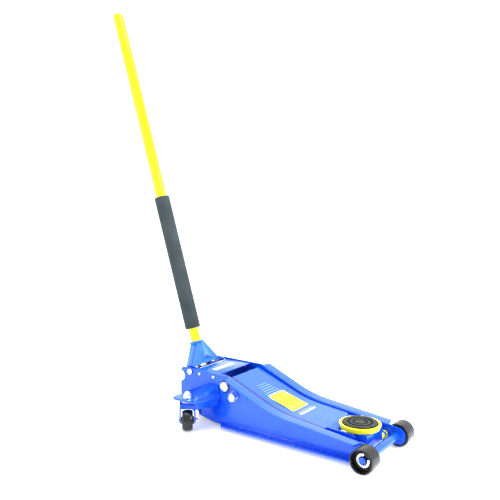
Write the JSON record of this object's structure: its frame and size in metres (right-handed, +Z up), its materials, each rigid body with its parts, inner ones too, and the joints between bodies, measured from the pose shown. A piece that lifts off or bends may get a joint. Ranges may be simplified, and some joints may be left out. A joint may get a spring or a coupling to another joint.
{
  "type": "car jack",
  "caption": "Long low hydraulic trolley jack on front rollers and rear casters, with a level-keeping saddle on a lift arm and a long two-part handle that pumps and twists.",
  "frame": {"origin": "on the floor, under the middle of the bounding box", "axes": "+X from the handle end to the saddle end, +Y to the jack's left, +Z up"},
  "size_m": [1.1319, 0.4232, 1.4046],
  "materials": {
    "blue_paint": "gloss enamel",
    "navy_paint": "gloss enamel",
    "yellow_paint": "gloss enamel",
    "black_steel": "satin black over turned steel",
    "zinc_plate": "bright zinc plating",
    "cast_iron": "dark, as cast",
    "hard_chrome": "ground and chromed",
    "spring_steel": "oiled dark wire",
    "saddle_rubber": "matt moulded rubber",
    "foam_grip": "fine cellular foam"
  },
  "bodies": {
    "chassis": {"side_plate_left": "blue_paint", "side_plate_right": "blue_paint", "caster_bracket_left": "blue_paint", "caster_bracket_right": "blue_paint", "axle_clip_left": "zinc_plate", "axle_clip_right": "zinc_plate", "link_bolt_left": "zinc_plate", "link_bolt_right": "zinc_plate", "front_axle": "blue_paint", "rear_cover": "blue_paint", "cover_screw_rear_left": "zinc_plate", "cover_screw_rear_right": "zinc_plate", "cover_screw_front_left": "zinc_plate", "cover_screw_front_right": "zinc_plate", "arm_pivot_pin": "zinc_plate", "rear_tie_bolt": "zinc_plate", "yoke_shaft": "zinc_plate", "caster_stem_left": "zinc_plate", "caster_stem_right": "zinc_plate", "power_unit_body": "cast_iron", "cylinder_gland": "cast_iron"},
    "front_roller_left": {"front_roller_left": "black_steel"},
    "front_roller_right": {"front_roller_right": "black_steel"},
    "caster_fork_left": {"caster_bearing_left": "zinc_plate", "caster_fork_left": "blue_paint", "caster_axle_left": "zinc_plate"},
    "caster_fork_right": {"caster_bearing_right": "zinc_plate", "caster_fork_right": "blue_paint", "caster_axle_right": "zinc_plate"},
    "caster_wheel_left": {"caster_wheel_left": "black_steel"},
    "caster_wheel_right": {"caster_wheel_right": "black_steel"},
    "lift_arm": {"arm_side_plate_left": "blue_paint", "arm_side_plate_right": "blue_paint", "arm_top_plate": "blue_paint", "arm_cross_tube": "blue_paint", "ram_pin": "zinc_plate", "saddle_pivot_pin": "zinc_plate"},
    "saddle_block": {"saddle_block": "blue_paint", "link_pin": "yellow_paint"},
    "saddle": {"saddle_cup": "yellow_paint", "saddle_pad": "saddle_rubber"},
    "tie_rods": {"tie_rod_left": "blue_paint", "tie_rod_right": "blue_paint"},
    "ram": {"ram": "hard_chrome", "ram_head": "cast_iron", "return_spring_left": "spring_steel", "return_spring_right": "spring_steel"},
    "yoke": {"handle_yoke": "blue_paint", "pump_roller_left": "zinc_plate", "pump_roller_right": "zinc_plate", "yoke_sleeve": "navy_paint"},
    "handle": {"handle_lower_tube": "yellow_paint", "handle_upper_tube": "yellow_paint", "handle_grip": "foam_grip", "release_driver": "zinc_plate"},
    "pump": {"pump_plunger_left": "hard_chrome", "pump_plunger_right": "hard_chrome", "pump_spring_left": "spring_steel", "pump_spring_right": "spring_steel"},
    "valve": {"valve_spindle": "zinc_plate"}
  },
  "joints": [
    {"name": "front_roller_left_spin", "type": "hinge", "parent": "chassis", "child": "front_roller_left", "pos_m": [0.5309, 0.123, 0.035], "axis": [0, 1, 0], "continuous": true},
    {"name": "front_roller_right_spin", "type": "hinge", "parent": "chassis", "child": "front_roller_right", "pos_m": [0.5309, -0.123, 0.035], "axis": [0, 1, 0], "continuous": true},
    {"name": "caster_left_swivel", "type": "hinge", "parent": "chassis", "child": "caster_fork_left", "pos_m": [-0.0771, 0.162, 0.0815], "axis": [0, 0, 1], "continuous": true},
    {"name": "caster_right_swivel", "type": "hinge", "parent": "chassis", "child": "caster_fork_right", "pos_m": [-0.0771, -0.162, 0.0815], "axis": [0, 0, 1], "continuous": true},
    {"name": "caster_left_spin", "type": "hinge", "parent": "caster_fork_left", "child": "caster_wheel_left", "pos_m": [-0.06278, 0.1787, 0.033], "axis": [-0.7593, 0.6508, 0], "continuous": true},
    {"name": "caster_right_spin", "type": "hinge", "parent": "caster_fork_right", "child": "caster_wheel_right", "pos_m": [-0.06278, -0.1787, 0.033], "axis": [0.7593, 0.6508, 0], "continuous": true},
    {"name": "lift_arm_pivot", "type": "hinge", "parent": "chassis", "child": "lift_arm", "pos_m": [0.0219, 0, 0.138], "axis": [0, -1, 0], "range_deg": [0, 58]},
    {"name": "saddle_block_pivot", "type": "hinge", "parent": "lift_arm", "child": "saddle_block", "pos_m": [0.4569, 0, 0.06], "axis": [0, 1, 0], "range_deg": [0, 58]},
    {"name": "saddle_turn", "type": "hinge", "parent": "saddle_block", "child": "saddle", "pos_m": [0.4549, 0, 0.08], "axis": [0, 0, 1], "continuous": true},
    {"name": "tie_rod_pivot", "type": "hinge", "parent": "chassis", "child": "tie_rods", "pos_m": [0.0579, 0, 0.112], "axis": [0, -1, 0], "range_deg": [0, 58]},
    {"name": "ram_slide", "type": "slide", "parent": "chassis", "child": "ram", "axis": [1, 0, 0], "range_m": [0, 0.05818], "deforming": ["return_spring_left", "return_spring_right"]},
    {"name": "handle_yoke_pivot", "type": "hinge", "parent": "chassis", "child": "yoke", "pos_m": [-0.1231, 0, 0.163], "axis": [0, -1, 0], "range_deg": [0, 45]},
    {"name": "handle_twist", "type": "hinge", "parent": "yoke", "child": "handle", "pos_m": [-0.15071, 0, 0.15413], "axis": [-0.3057, 0, 0.9521], "range_deg": [0, 270]},
    {"name": "pump_slide", "type": "slide", "parent": "chassis", "child": "pump", "axis": [0, 0, -1], "range_m": [0, 0.01984], "deforming": ["pump_spring_left", "pump_spring_right"]},
    {"name": "valve_turn", "type": "hinge", "parent": "chassis", "child": "valve", "pos_m": [-0.14783, 0, 0.125], "axis": [0, 0, 1], "range_deg": [0, 270]}
  ],
  "couplings": [
    {"joint": "saddle_block_pivot", "follows": "lift_arm_pivot", "ratio": 1},
    {"joint": "tie_rod_pivot", "follows": "lift_arm_pivot", "ratio": 1},
    {"joint": "ram_slide", "follows": "lift_arm_pivot", "m_per_rad": 0.05747},
    {"joint": "pump_slide", "follows": "handle_yoke_pivot", "m_per_rad": 0.02526},
    {"joint": "valve_turn", "follows": "handle_twist", "ratio": 1}
  ]
}
